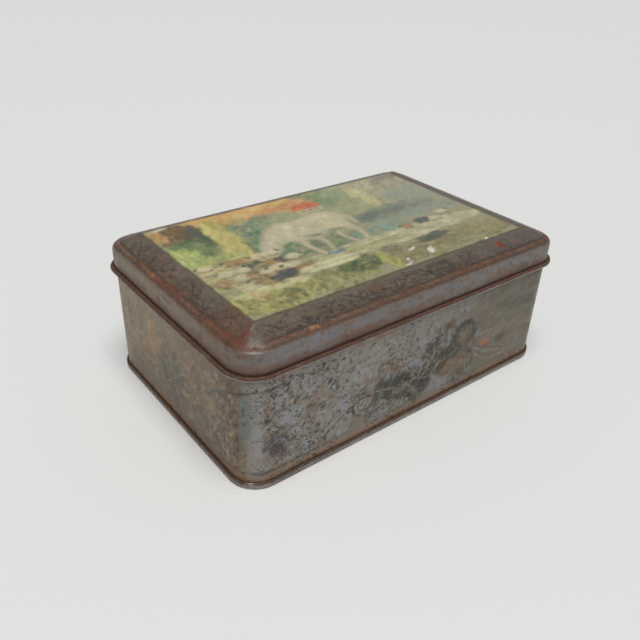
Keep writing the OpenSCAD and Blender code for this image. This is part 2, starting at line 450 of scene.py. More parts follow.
def paint_picture():
    """An old country scene in oils: trees, a cottage, a grazing horse, and sheep by a sandy path."""
    art = Canvas(-FLAT_X, FLAT_X, -FLAT_Y, FLAT_Y, PICTURE_DOTS, "9b9670", seed=11, wobble=0.3)
    fill, lay = art.fill, art.lay
    # far trees and light through them
    fill(40, 34, 66, 30, "a8a376 989465 8c9068 aea478 94946c a09e78", (14, 6), 360, 52, 20, 0.55)
    fill(28, 46, 20, 15, "86906a 76825c 95986f", (10, 5), 80, 50, 20, 0.6)
    fill(50, 36, 5, 22, "bdb27a c6ba85 b0a672", (11, 4), 46, 66, 12, 0.6)
    fill(68, 50, 14, 8, "b0a47c bab08a", (9, 4), 34, 50, 20, 0.5)
    fill(86, 46, 18, 15, "938a68 9d9270 857d62 aa9e7c", (10, 4.5), 90, 52, 16, 0.55)
    fill(90, 57, 16, 5, "867a66 75705f", (8, 4), 24, 30, 20, 0.6)
    fill(82, 22, 22, 12, "8c937a 7f8a70 98997c", (10, 5), 80, 40, 20, 0.5)
    fill(12, 52, 9, 10, "6f7c56 80885f", (8, 4), 44, 50, 20, 0.6)
    art.wash(-42, 52, 50, 14, "c89c56", 0.95, 0.5, 21)
    fill(-42, 52, 50, 11, "cca264 bc9256 d6b478 a8844e c49656 ceae74 b4a062", (8, 3.4), 300, 22, 40, 0.55)
    fill(-52, 43, 30, 5, "9f8a4e b09a58 8a8450", (7, 3), 70, 30, 40, 0.55)
    fill(2, 46, 14, 11, "c08c58 b07c4c cc9a62", (8, 3.4), 60, 40, 35, 0.55)
    fill(-22, 45, 11, 8, "c08a54 cc9a62 b27f4c", (8, 3.4), 46, 40, 35, 0.6)
    fill(-88, 46, 15, 13, "6b5638 57482f 7d6240 4a4030 8c7044", (8, 4), 130, 60, 45, 0.7)
    fill(-99, 50, 5, 10, "b08a54 bd9a5e", (6, 3), 26, 70, 30, 0.6)
    art.dab(-93, 60, 9, 3.4, 12, "c2b89a", 0.8)
    fill(-73, 42, 9, 12, "4e5140 5c6048 464a3a", (8, 4), 70, 70, 30, 0.65)
    fill(-62, 38, 8, 12, "7c8052 8f8c58", (8, 3.5), 30, 76, 20, 0.5)
    fill(-36, 33, 22, 12, "7c8a66 8c9468 6a7c5e 9a9e74 62785f", (8, 3.8), 140, 40, 40, 0.6)
    fill(-19, 38, 9, 9, "9a9a70 a89c74 8c8f68", (7, 3), 50, 48, 40, 0.6)
    fill(-66, 24, 8, 30, "b0a25a bfb068 9c944e ccbe78 aaa25c", (11, 3.6), 150, 76, 14, 0.65)
    fill(-88, 24, 15, 14, "5c6c42 6c7a4a 4c5c3c 7e8850", (7, 3.4), 150, 60, 60, 0.65)
    fill(-97, 14, 9, 16, "a4ae5a b6ba6c 8f9c4c c0c07c", (6, 2.6), 130, 76, 40, 0.6)
    fill(-82, 5, 17, 5, "a8ac60 8c9850 b8b472", (6, 2.4), 80, 60, 40, 0.55)
    fill(-48, 6, 12, 22, "587456 648062 4c6850 7a8c5c", (7, 3.2), 150, 70, 45, 0.6)
    fill(-22, -10, 30, 9, "66785c 7c8a5e 566c50 8f9468", (8, 3.2), 120, 20, 35, 0.6)
    fill(20, -14, 22, 9, "7e9076 8f9a78 6c8270 a09f7a", (8, 3), 110, 20, 35, 0.6)
    fill(50, 5, 36, 9, "757a66 7c806a 6c7264 878a70", (12, 4.5), 150, 14, 22, 0.45)
    fill(40, 7, 22, 3.5, "626a5e 6a6e60", (12, 3.4), 30, 8, 14, 0.4)
    fill(66, -6, 42, 7, "8f957a 9ca084 838a70 8a9482", (10, 3.6), 120, 14, 26, 0.5)
    # the path and the grass
    fill(24, -27, 80, 7, "bfb588 ccc294 aea678 d6cca2 a09a6e c6bb90", (10, 2.6), 420, 8, 18, 0.6)
    fill(-20, -29, 50, 6, "aea674 8f9460 c2b986 7f8458", (9, 2.2), 180, 4, 16, 0.55)
    fill(-80, -16, 26, 19, "b09f62 998a54 c0b07a 84784e a89c64 cabd84", (6, 2.8), 260, 20, 55, 0.6)
    fill(-80, -46, 26, 15, "a8a058 b8b068 8c8446 c8bf7e 75703c aea45c", (6, 2.2), 360, 82, 40, 0.6)
    fill(-42, -50, 32, 11, "958a4e 7c7440 aaa05a b8ae6c 67633a", (6, 2.2), 200, 78, 40, 0.6)
    fill(48, -50, 56, 12, "8a7e50 7c7048 9d905e 6c6642 aa9c6c 857a50", (8, 2.8), 380, 20, 55, 0.5)
    fill(86, -46, 18, 10, "a89868 96885c", (8, 2.8), 70, 30, 40, 0.5)
    fill(-18, -42, 15, 9, "4c5a38 5c683e 424e32 727a48", (6, 2.6), 120, 20, 50, 0.65)
    fill(-74, -51, 9, 7, "535a34 666a40 76764a", (5, 2.2), 44, 70, 40, 0.55)
    fill(-2, -47, 5, 11, "b0a84e c2ba60 9a9244", (6, 2), 40, 75, 30, 0.6)
    fill(8, -38, 8, 5, "74704e 827c58", (6, 2.2), 30, 10, 30, 0.5)
    fill(43, -39, 12, 4, "5a5a4c 68665a 504f48", (7, 2.6), 50, 8, 18, 0.55)
    draw_cottage(art, 4, 33, 18)
    draw_horse(art, -13, 1)
    cream, tan, dark = "c6ba8c d2c69c b8ab80", "9c7c50 8a6c44 b08c5c", "4c534a 424a42 5f655a"
    flock = [(cream, "424a42"), (tan, "5f5138"), (cream, "5f5138"), (dark, "343a34")]
    fill(-73, -22, 13, 9, "3a4240 4c4a3a 6a4a2c 343a36", (4.6, 2.4), 70, 60, 50, 0.6)
    for row, (low, count) in enumerate(((-2, 5), (-12, 6), (-22, 6), (-31, 5))):
        for k in range(count):
            x = -98 + 6 * (row % 2) + 52 * (k + art.chance.uniform(0.2, 0.8)) / count
            y = low + art.chance.uniform(-2, 2)
            size = (1.0 + 0.12 * row) * art.chance.choice((-1, 1))
            draw_sheep(art, x, y, size, *flock[art.chance.integers(len(flock))])
    for x, y, size, kind in ((40, -19, -0.9, 1), (54, -17, 1.1, 3), (65, -19, -1.0, 0), (77, -13, 1.0, 2)):
        draw_sheep(art, x, y, size, *flock[kind])
    fill(-78, -13, 25, 19, "cdc094 bfb284 9c8654 8c7c54 c9bd8c a89a62", (6, 3), 60, 60, 60, 0.35)
    fill(-32, -33, 22, 4, "d3c892 c9be90 ddd3a6", (7, 2.2), 90, 6, 20, 0.55)
    fill(-76, -39, 24, 4, "d3c892 c4b984", (6, 2.2), 80, 6, 20, 0.6)
    fill(29, -13, 5, 6, "8fa68c 7c967c", (5, 2.4), 22, 60, 40, 0.5)
    fill(-22, -23, 8, 2.6, "6c8484 8a9e9c 5e7674", (6, 2), 18, 10, 30, 0.5)
    fill(-86, -42, 6, 4, "c68a3e b87c36", (2.2, 1.6), 12, 20, 60, 0.8)
    fill(-86, -54, 20, 9, "6d6a3c 8a7c44 c0ae66 5f6438 a88a48", (2.6, 1.6), 170, 40, 80, 0.4)
    fill(0, 0, 110, 66, "47422c dad2ac 6a6444 3c382c bfb68c", (1.6, 1.0), 900, 0, 90, 0.2)
    # painted sheen: paler towards the right and back, and brighter towards the back, for the room reflected
    # in the varnish; the even lift and the bluer balance are the print's colour
    painted_sheen = ease(art.x, 0, 115) * 0.25 * ease(art.y, -70, 30)
    lay(painted_sheen, "a3a08c")
    art.rgb *= (1.12 + 0.18 * ease(art.y, -40, 60)[..., None]) * (1.0, 1.04, 1.15)
    # wear: paint chipped to the white ground, scratches, and a dark printed edge
    for x, y, length, width, angle in (
            (27.5, -52.5, 5.5, 4.2, 60), (26, -55, 3.4, 2.6, 20), (30, -49.5, 2.2, 1.6, 40),
            (18, -46, 5, 1.8, 12), (20.5, -44.6, 3, 1.6, 40), (7, -54.5, 3.2, 2.0, 50),
            (6, -58, 4, 1.2, 15), (2.5, -59.5, 4, 1.2, 5), (68, -60.6, 3.2, 2.2, 50)):
        art.dab(x, y, length, width, angle, "f2eee0", 0.9, 0.3)
    for x, y, length, angle in ((-30, 30, 16, 50), (60, 20, 20, 42), (85, -5, 14, 60), (15, -38, 12, 20)):
        art.line([(x, y), away(x, y, length, angle)], 0.45, "c4bda4", 0.3, 0.3)
    edge = np.minimum(FLAT_X - np.abs(art.x), FLAT_Y - np.abs(art.y)) + 0.4 * fractal(art.x, art.y, 5, 31)
    lay(0.8 * ease(edge, 1.6, 0.8), "4a4034")
    lay(0.9 * ease(art.x + 0.6 * fractal(art.x, art.y, 6, 32), FLAT_X - 6, FLAT_X - 4.8), "6a5e54")
    return art


# ---------------------------------------------------------------- ornament

def engraved(art, points, width, strength):
    """A dark printed line with a pale edge under it."""
    points = np.array(points, float)
    art.line(points + [0.3, -0.45], width, "93877a", 0.35 * strength)
    art.line(points, width, "372e29", strength, 0.08)


def spiral(x, y, radius, turns, start, hand):
    """Points of a scroll that winds inwards."""
    part = np.linspace(0, 1, int(14 * turns) + 2)
    angle = np.radians(start) + hand * part * turns * 2 * math.pi
    return np.stack([x + radius * (1 - 0.75 * part) * np.cos(angle),
                     y + radius * (1 - 0.75 * part) * np.sin(angle)], 1)


def leaf_spray(art, points, size, colours, vein, every, strength):
    """A stem with leaves on both sides."""
    colours = colours.split()
    path = curve_through(points, every)
    for k, ((x, y), (x2, y2)) in enumerate(zip(path, path[1:])):
        way = math.degrees(math.atan2(y2 - y, x2 - x))
        for side in (-1, 1):
            lean = way + side * art.chance.uniform(35, 70)
            grow = size * art.chance.uniform(0.7, 1.25)
            middle = away(x, y, 0.5 * grow, lean)
            art.dab(*middle, grow, grow * 0.42, lean, colours[art.chance.integers(len(colours))], strength)
            art.dab(*middle, grow * 0.8, 0.5, lean, vein, 0.5 * strength)
    art.line(points, 0.8, vein, 0.6 * strength, 0.15)


def rose(art, x, y, radius, dark, pale, strength=0.85):
    """An open flower: curled petals round a dark heart."""
    art.wash(x, y, radius * 0.8, radius * 0.8, dark, 0.5 * strength, 0.5, int(abs(x)) + 3)
    for share, petals in ((0.95, 7), (0.62, 5), (0.3, 3)):
        for k in range(petals):
            way = 360 * (k + share) / petals + art.chance.uniform(-14, 14)
            far = radius * share * art.chance.uniform(0.85, 1.12)
            lean = way + 90 + art.chance.uniform(-25, 25)
            art.dab(*away(x, y, far, way), radius * 0.62, radius * 0.3, lean, dark, strength)
            art.dab(*away(x, y, 0.93 * far, way), radius * 0.4, radius * 0.12, way + 80, pale,
                    0.55 * strength)
    art.dab(x, y, radius * 0.4, radius * 0.3, 30, dark, strength)


def wreath(art, x, y, radius, colours, pale, strength):
    """A ring of short leaves."""
    colours = colours.split()
    art.line(arc((x, y), radius, 0, 360, 24), radius * 0.3, colours[0], 0.45 * strength)
    for k in range(int(radius * 3)):
        angle = 360 * k / int(radius * 3) + art.chance.uniform(-8, 8)
        spread = radius * art.chance.uniform(0.86, 1.14)
        art.dab(*away(x, y, spread, angle), radius * 0.42, radius * 0.16, angle + 60,
                colours[k % len(colours)], strength)
    art.line(arc((x, y), radius * 1.02, 100, 330, 16), 0.6, pale, 0.5 * strength, 0.3)


def squiggles(art, box, count, colours, width, length, strength, level=0.0):
    """Short crooked marks, left where a fine pattern has worn away. A level of 1 makes them lie flat."""
    left, right, low, high = box
    colours = colours.split()
    for _ in range(count):
        x, y = art.chance.uniform(left, right), art.chance.uniform(low, high)
        way = level * 20 + art.chance.uniform(0, 360) * (1 - level)
        reach, bend = length * art.chance.uniform(0.4, 1.3), art.chance.uniform(-70, 70)
        points = [(x, y)]
        for part in (0, 1):
            points.append(away(*points[-1], reach / 2, way + part * bend))
        art.line(points, width * art.chance.uniform(0.7, 1.3),
                 colours[art.chance.integers(len(colours))], strength * art.chance.uniform(0.6, 1))


def paint_border():
    """The lid's sloping border, shoulder and skirt. Up the canvas is down the lid's profile."""
    art = Canvas(-AROUND / 2 - 2, AROUND / 2 + 2, -1, 32, PRINT_DOTS, "6e6354", seed=12, wobble=0.4)
    fill, lay = art.fill, art.lay
    crease, skirt = CORNER + CREASE[0], SKIRT_START
    down = art.y
    left = ease(art.x, -112, -140) * ease(art.x, -270, -250)
    lay(0.7 * ease(down, 4, 0), "7c7266")
    lay(0.8 * ease(down, 5, 12), "5e5244")
    lay(0.5 * left * ease(down, 9, 0), "71665b")
    tone = fractal(art.x, down * 2, 7, 41, 4)
    lay(0.45 * ease(tone, 0.0, 0.6), "84735f")
    lay(0.5 * ease(-tone, 0.05, 0.6), "443a31")
    brown = fractal(art.x, down, 16, 44, 4)
    lay(0.5 * ease(brown, 0.0, 0.5) * ease(down, skirt, skirt - 1), "6a4a38")
    # lower slope and shoulder
    lay(0.8 * ease(down, crease - 0.6, crease + 0.6) * ease(down, skirt + 0.8, skirt - 0.4), "6e5340")
    lay(0.65 * ease(np.abs(down - crease), 1.0, 0.2), "382c23")
    # painted highlights: pale patches just above and below the crease, where the bend catches the light
    for strength, shift, seed, level, colour in ((0.6, -1.5, 42, -0.4, "8d7c68"),
                                                 (0.45, 1.6, 45, -0.2, "8a7c6a")):
        patches = ease(fractal(art.x, down, 9, seed), level, level + 0.6)
        lay(strength * ease(np.abs(down - crease + shift), 0.7, 0.2) * patches, colour)
    # painted shade: a dark band where the shoulder turns down into the skirt, to dull its highlight
    lay(0.6 * ease(np.abs(down - 15.3), 1.1, 0.3), "4a382c")
    # skirt
    upright = ease(down, skirt, skirt + 2)
    lay(ease(down, skirt - 0.4, skirt + 0.9), "7a746e")
    lay(0.85 * left * ease(down, skirt, skirt + 1.5), "7f6b4c")
    for cell, seed, strength in ((12, 43, 0.7), (4, 47, 0.5)):
        streaks = fractal(art.x, down * 3, cell, seed, 4)
        lay(strength * ease(streaks, 0.05, 0.5) * upright, "7a5f48")
        lay(strength * (1 - 0.75 * left) * ease(-streaks, 0.1, 0.5) * upright, "7c7e82")
    lay(0.5 * ease(fractal(art.x, down * 2, 6, 46, 4), 0.15, 0.5) * upright, "504338")
    fill(-50, 23.5, 66, 2.0, "74492f 7f5236 8a5a3c", (4, 1.2), 70, 0, 20, 0.5)
    fill(left_side(0), 24, 60, 1.6, "704630 6a4a36", (4, 1.2), 40, 0, 20, 0.5)
    art.rgb *= 1 + 0.2 * upright[..., None]
    # painted reflections on the skirt: a pale grey glow near the front left corner, and a blue-grey band
    # along its middle except on the left side
    lay(0.35 * upright * ease(np.abs(art.x + 92), 34, 8), "929094")
    lay(0.45 * (1 - left) * ease(down, 17, 18.5) * ease(down, 22, 19.5) * ease(tone, -0.3, 0.2), "858b92")
    lay(0.6 * ease(down, 20.5, 25) * ease(fractal(art.x, down * 2, 14, 48), -0.5, 0.2), "70503a")
    lay(0.45 * ease(np.abs(art.x + 131), 34, 10) * ease(tone, -0.5, 0.1), "6c452f")
    # painted shade: dark at the foot of the skirt, in the crevice over the rolled rim
    lay(0.9 * ease(down, 25.2, 28.4), "4c382c")
    # scroll and shell ornament along each side
    spans = [(0, FLAT_X), (FLAT_X + CORNER_ARC + FLAT_Y, FLAT_Y), (AROUND / 2, FLAT_X),
             (-FLAT_X - CORNER_ARC - FLAT_Y, FLAT_Y)]
    for middle, half in spans:
        units = 2 if half < 80 else 4
        pitch = 2 * half / units
        for k in range(units):
            x = middle - half + (k + 0.5) * pitch
            x = (x + AROUND / 2) % AROUND - AROUND / 2
            for hand in (-1, 1):
                stem = [(x + hand * far, height)
                        for far, height in ((3, 9.4), (8, 10.4), (14, 9.2), (19, 4.6), (23, 3.2))]
                engraved(art, stem, 0.8, 0.9)
                engraved(art, spiral(x + hand * 13, 5.2, 3.2, 1.1, 90 - 90 * hand, hand), 0.7, 0.8)
                engraved(art, spiral(x + hand * 22, 7.8, 2.6, 1.0, 90 + 90 * hand, -hand), 0.7, 0.8)
                for fringe in range(6):
                    foot = x + hand * (5 + 2.0 * fringe)
                    fold = [(foot, 6.8), (foot + hand * 0.9, 8.2), (foot + hand * 0.4, 9.8)]
                    engraved(art, fold, 0.6, 0.75)
            for ray in range(-3, 4):
                engraved(art, [(x + 0.5 * ray, 9.8), (x + 1.2 * ray, 5.6 + 0.35 * abs(ray))], 0.65, 0.75)
            engraved(art, arc((x, 6.5), 4.4, 200, 340, 8) * [1, -1] + [0, 11.5], 0.6, 0.6)
    squiggles(art, (-AROUND / 2, AROUND / 2, 1, 11), 900, "332a24 3f342c 4b3a2e", 0.6, 2.0, 0.55, 0.6)
    squiggles(art, (-AROUND / 2, AROUND / 2, 1, 11), 300, "8d7f6e 85644c", 0.6, 1.8, 0.5, 0.6)
    lay(0.5 * ease(np.abs(art.x - 88), 55, 25) * ease(down, 12, 9.5) * ease(down, 0, 1), "6f6862")
    # rust that has come up through the print
    rust = "74452f 663c2a 7f4c32 5a3626"
    fill(-121, 8, 6, 7, rust, (4, 2), 60, 70, 50, 0.6)
    fill(-127, 12, 12, 3, rust, (4, 1.6), 40, 0, 40, 0.55)
    fill(-178, 13.5, 62, 1.8, rust + " 8a5836", (4, 1.2), 130, 0, 20, 0.55)
    fill(-178, 9, 60, 3, rust, (3, 1.2), 90, 0, 40, 0.4)
    fill(0, 13.6, 104, 1.6, rust, (4, 1.0), 130, 0, 15, 0.45)
    fill(AROUND / 4, 13, 60, 2.5, rust, (4, 1.2), 90, 0, 20, 0.5)
    art.wash(-112, 11, 7, 2.4, "747a66", 0.65, 0.4, 76)
    art.line([(-117.5, 2.5), (-116, 9.5)], 0.8, "a49b8c", 0.75, 0.1)
    fill(72, 6.2, 3.0, 2.0, "8f3f22 a04a28 74341c", (2.6, 1.5), 20, 30, 60, 0.9)
    fill(-32, 4.5, 9, 1.8, "7a4230 84503a", (3, 1), 16, 10, 40, 0.5)
    fill(-76, 13.4, 4, 0.9, "b08050 bd8c5c", (2.4, 0.9), 14, 0, 30, 0.75)
    fill(left_side(20), 13.8, 3.6, 1.0, "b4783c a86c38", (2.4, 0.9), 16, 0, 30, 0.8)
    return art


def paint_wall():
    """The print round the body: garlands, wreaths and roses, worn and faded."""
    art = Canvas(-AROUND / 2 - 2, AROUND / 2 + 2, 0, 90, PRINT_DOTS, "8a867d", seed=13, wobble=0.9)
    fill, lay, line, wash = art.fill, art.lay, art.line, art.wash
    x, z = art.x, art.y
    left = ease(x, -114, -130) * ease(x, -280, -256)
    plain = np.maximum(ease(x, 14, 70) * ease(x, 400, 300), ease(x, -256, -280))
    front = ease(x, -128, -110) * ease(x, 70, 34)
    lay(left, "917b56")
    lay(plain, "7b715d")
    # streaks and clouds of wear
    for size, seed, strength in ((20, 51, 0.55), (8, 62, 0.45)):
        art.streak(fractal(x, z * 4, size, seed, 4), strength, plain, "8e8674", "665a48")
    tint = fractal(x, z * 2, 26, 63)
    lay(0.45 * ease(tint, 0.1, 0.5) * plain, "76785f")
    lay(0.4 * ease(-tint, 0.1, 0.5) * plain, "8a6c50")
    for size, seed, strength in ((9, 52, 0.5), (4, 64, 0.45)):
        rays = fractal(x + 1.1 * z, (z - 0.5 * x) * 2.2, size, seed, 4)
        art.streak(rays, strength, left, "a5906a", "6a553a")
    lay(0.5 * left * ease(z, 54, 70), "a8956f")
    lay(0.65 * left * ease(z, 38, 8), "6b563b")
    lay(0.5 * left * ease(x, left_side(10), left_side(-40)), "6f5a40")
    # painted sheen: the back end of the left side is lighter, for light reflected at a grazing angle
    lay(0.4 * left * ease(x, left_side(50), left_side(66)), "a89a7e")
    for size, seed, strength in ((8, 53, 0.65), (3.4, 65, 0.5)):
        mottle = fractal(x, z, size, seed, 3)
        lay(strength * front * ease(mottle, 0.08, 0.45), "9b9ea2")
        lay(strength * front * ease(-mottle, 0.14, 0.5), "7f6a50")
    lay(0.45 * front * ease(fractal(x, z, 9, 66, 3), 0.15, 0.5), "7c8068")
    lay(0.35 * front * ease(z, 38, 62), "a39e94")
    lay(0.25 * front * ease(z, 24, 12), "6f6454")
    copper = "9c6c40 94643f a8754a 87603e"
    fill(-72, 50, 18, 10, copper, (3, 1.5), 36, 10, 70, 0.55)
    fill(-68, 36, 26, 10, copper, (2.6, 1.4), 30, 10, 70, 0.5)
    fill(-20, 46, 50, 16, copper, (2.4, 1.2), 34, 10, 70, 0.4)
    fill(-107, 50, 2.5, 9, copper, (2.4, 1.2), 12, 70, 40, 0.5)
    # what is left of the fine pattern of the front
    dark_marks = "2b2624 3a322e 443a32"
    for box, count in (((-108, -20, 11, 66), 210), ((-108, -60, 40, 64), 90), ((-40, 34, 11, 62), 80)):
        squiggles(art, box, count, dark_marks, 0.9, 2.6, 0.7, 0.3)
    squiggles(art, (-108, 30, 11, 68), 260, "a6a6ac 9a9ea6 b0aa9c", 0.9, 2.4, 0.5, 0.3)
    squiggles(art, (30, 120, 9, 68), 150, "5c5142 4c443a a09682", 0.9, 5.0, 0.35, 0.85)
    ground = art.rgb.copy()
    # near the front left corner; the first, blue-grey wash is a painted reflection down the rounded corner
    wash(-118.5, 45, 4.6, 20, "737b7a", 0.9, 0.15, 54)
    wash(-114, 20, 5, 12, "9c9090", 0.6, 0.25, 55)
    wash(-130, 40, 9, 46, "6b4830", 0.85, 0.35, 56)
    squiggles(art, (-142, -122, 12, 62), 70, "33291f 43352a 8f7450", 1.1, 4, 0.7)
    # ornament of the front
    ink, green, pale = "23201e", "2b2d27 38382f 242620 434236", "aa9e88"
    line([(-150, 44), (-136, 55), (-122, 61), (-108, 63.5), (-90, 63)], 1.3, ink, 0.8, 0.5)
    wash(-101, 25, 6, 8, "6a5558", 0.5, 0.4, 69)
    rose(art, -102, 27, 7.5, "3a2d30", "988c8c")
    rose(art, -98, 19, 4.5, "42363a", "988c8c", 0.75)
    line(arc((-43, 26), 7.0, 60, 300, 14), 2.6, "353029", 0.55, 0.3)
    line(arc((-42, 26), 4.6, 70, 290, 12), 1.3, ink, 0.45, 0.3)
    line(arc((-43, 26), 6, 80, 300, 12), 0.9, pale, 0.4, 0.3)
    fill(-35, 18, 5, 6, green, (5, 2), 16, 60, 50, 0.5)
    line([(-75, 15), (-60, 24), (-44, 33)], 1.1, "a99c84", 0.7, 0.15)
    line([(-74, 13.6), (-60, 22.4), (-44, 31)], 1.0, ink, 0.6, 0.2)
    wash(-4, 26, 24, 10, "30312a", 0.9, 0.7, 57)
    wash(4, 18, 10, 9, "30312a", 0.8, 0.6, 70)
    wash(13, 37, 11, 12, "3c3c32", 0.75, 0.7, 67)
    wash(28, 31, 12, 6, "3c3c32", 0.7, 0.6, 72)
    leaf_spray(art, [(-34, 31), (-18, 27), (0, 24), (14, 29), (34, 34)], 9, green, pale, 2.6, 0.85)
    leaf_spray(art, [(-8, 17), (4, 26), (12, 38), (11, 50)], 8, green, pale, 2.8, 0.8)
    leaf_spray(art, [(-14, 30), (-3, 20), (3, 11)], 8, green, pale, 2.8, 0.85)
    for curl in range(5):
        curled = spiral(-14 + 7 * curl, 23 + 3.5 * curl, 4.4, 0.8, 70 * curl, 1 - 2 * (curl % 2))
        line(curled, 0.9, "a99a80", 0.6, 0.35)
    for points, colour, strength in (([(-8, 34), (4, 31), (16, 42), (22, 40)], "a99a80", 0.6),
                                     ([(-20, 22), (-4, 27), (8, 24), (20, 32)], "ada088", 0.5),
                                     ([(2, 44), (10, 38), (16, 30)], "a99a80", 0.55)):
        line(points, 0.8, colour, strength, 0.35)
    wash(38, 43, 11.5, 11.5, "4b4434", 0.75, 0.3, 68)
    wreath(art, 38, 43, 9.5, "3c3a2f 4c4636 332f28", pale, 0.85)
    wash(38, 43, 6, 6, "877c62", 0.9, 0.3, 58)
    fill(38, 43, 5, 4, "7c7052 a3977a", (3, 1.2), 14, 20, 60, 0.5)
    wreath(art, 42, 23, 7.5, "4a3f30 5c4e3c 3c332a", pale, 0.85)
    wash(25, 24, 7, 8, "5e4a34", 0.6, 0.5, 71)
    fill(34, 23, 11, 7, "96744e a3825c 574734 7c6646", (4, 1.8), 80, 60, 60, 0.65)
    fill(24, 53, 6, 6, "6b4f34 7c603e 4d4030", (3.5, 1.6), 44, 60, 60, 0.6)
    for drop in (0, 3, 6, 9):
        colour = "a59a80" if drop in (3, 9) else "453e34"
        line([(49, 31 - drop / 2), (61, 26 - drop), (80, 18 - drop / 2)], 1.4, colour, 0.45, 0.2)
    fill(61, 29.5, 4.5, 2.0, "c46a40 b86038 c87c50", (3, 1.6), 26, 10, 30, 0.8)
    fill(76, 28, 5, 2.5, "453b3c 544a4a", (4, 1.6), 24, 10, 30, 0.65)
    fill(91, 50, 13, 5, "54565a 626058", (7, 2), 60, 8, 15, 0.5)
    fill(62, 47, 18, 10, "6c6948 62603c 7c7454", (6, 2), 70, 15, 20, 0.45)
    fill(78, 36, 26, 3, "a0957c 968a72", (8, 1.2), 40, 8, 12, 0.45)
    fill(86, 48, 32, 20, "675f4e 87826f 5c5749 86705a 767d7a", (5, 2.2), 200, 20, 60, 0.32)
    fill(86, 20, 32, 10, "675f4e 87826f 5c5749 86705a", (5, 2.0), 90, 15, 50, 0.3)
    for spot in (-47, -33, -25):
        fill(spot, 68.0, 3.4, 1.2, "b06a40 9c6040", (2.6, 1.2), 12, 5, 20, 0.75)
    art.wear(ground, 4, 73, 0.4, -0.25)
    # the left side
    ground = art.rgb.copy()
    bouquet = left_side(-1)
    wash(bouquet, 31, 21, 17, "54503a", 0.7, 0.6, 59)
    for dx, dz in ((-12, 6), (0, 12), (11, 8), (-8, -6), (6, -8), (15, -2)):
        leaf_spray(art, [(bouquet + 0.3 * dx, 30 + 0.3 * dz), (bouquet + 1.35 * dx, 30 + 1.5 * dz)], 8,
                   "4b4a38 585440 3f3e32 6a6348", "b5a580", 2.8, 0.7)
    rose(art, left_side(8), 33, 6.5, "4a4034", "a89a78", 0.7)
    rose(art, bouquet + 1, 19, 6, "4c3e3c", "9a8c7c", 0.75)
    fill(left_side(24), 47, 5, 12, "b08850 a07c50 c09460", (5, 2), 50, 70, 30, 0.55)
    fill(left_side(33), 48, 4, 4, "738076 68746a", (4, 2), 16, 60, 40, 0.45)
    for stem, strength in (((-33, 39), (-42, 46), (-50, 52), (-58, 55)), 1.0), \
            (((-20, 37), (-30, 31), (-38, 23), (-46, 18)), 0.7):
        engraved(art, [(left_side(y), height) for y, height in stem], 1.0, strength)
    engraved(art, spiral(left_side(-50), 28, 9, 1.3, 30, -1), 1.0, 0.8)
    engraved(art, spiral(left_side(-30), 50, 7, 1.2, 200, 1), 0.9, 0.6)
    for fold in range(6):
        places = ((-52 - 3 * fold, 14), (-54 - 2 * fold, 26), (-50 - 3 * fold, 38), (-54 - 3 * fold, 52))
        line([(left_side(y), height) for y, height in places], 1.0,
             "b8a988" if fold % 2 else "4f4335", 0.5, 0.35)
    squiggles(art, (left_side(-46), left_side(-74), 9, 62), 90, "4a3e32 54463a", 1.2, 5, 0.6, 0.3)
    squiggles(art, (left_side(-16), left_side(-70), 9, 64), 150, "b5a688 b09c78 967c58", 1.2, 5, 0.5, 0.3)
    squiggles(art, (left_side(70), left_side(-70), 9, 68), 170, "665640 5a4c38 b0a07c", 1.4, 6.0, 0.28, 0.6)
    art.wear(ground, 7, 74, 0.5, -0.1)
    # the right side and the back carry the same ornament, more faded
    right, back = FLAT_X + CORNER_ARC + FLAT_Y, AROUND / 2
    faded = "4a493e 575648 403f37 66614e"
    for middle, half in ((right, 50), (back - 58, 44), (58 - back, 44)):
        wash(middle, 34, half * 0.8, 14, "65634f", 0.4, 0.6, int(middle) % 50)
        leaf_spray(art, [(middle - half, 44), (middle - half / 2, 32), (middle, 27), (middle + half / 2, 32),
                         (middle + half, 44)], 8, faded, "a89e84", 2.8, 0.75)
        wreath(art, middle, 44, 10, faded, "a89e84", 0.75)
        rose(art, middle, 44, 6, "4b4240", "a0968a", 0.8)
        for hand in (-1, 1):
            rose(art, middle + hand * (half - 4), 47, 6, "4b4240", "a0968a", 0.75)
            engraved(art, spiral(middle + hand * (half - 14), 20, 6.5, 1.2, 90, hand), 1.0, 0.8)
            line(spiral(middle + hand * 20, 24, 5, 0.9, 90, hand), 0.9, "b0a58a", 0.6, 0.15)
    for low, high in ((120, AROUND / 2), (-AROUND / 2, -262)):
        squiggles(art, (low, high, 9, 68), int(2.2 * (high - low)), "4a4036 3c352f a0967f 7e5f40", 0.9, 3.2,
                  0.55, 0.5)
    lay(0.75 * ease(np.abs(x), AROUND / 2 - 4.5, AROUND / 2 - 2.2), "7e7565")
    # a ruled line and a coppery band along the bottom, painted shade on the wall just under the lid's rim,
    # and light grey behind the rim
    band = ease(z, 9.5, 7.5) * ease(z, 3, 5)
    lay(0.6 * band, "947255")
    ruled = ease(np.abs(z - 10 - 0.5 * fractal(x, z, 6, 60)), 1.1, 0.4)
    ruled *= 0.45 + 0.55 * ease(x, -40, -90) * (x > -130)
    lay(0.75 * ruled * ease(fractal(x, z, 3, 61), -0.35, 0), "3a3029")
    lay(0.35 * ease(z, 65, 71), "5b5146")
    lay(0.8 * ease(z, 71.5, 74), "837f78")
    art.rgb *= (1 + 0.12 * ease(x, -10, -40) * ease(x, -125, -110) - 0.1 * ease(x, 10, 50) * ease(x, 150, 122)
                - 0.2 * left * ease(z, 44, 20) * ease(x, left_side(62), left_side(40)))[..., None]
    return art


# ---------------------------------------------------------------- materials

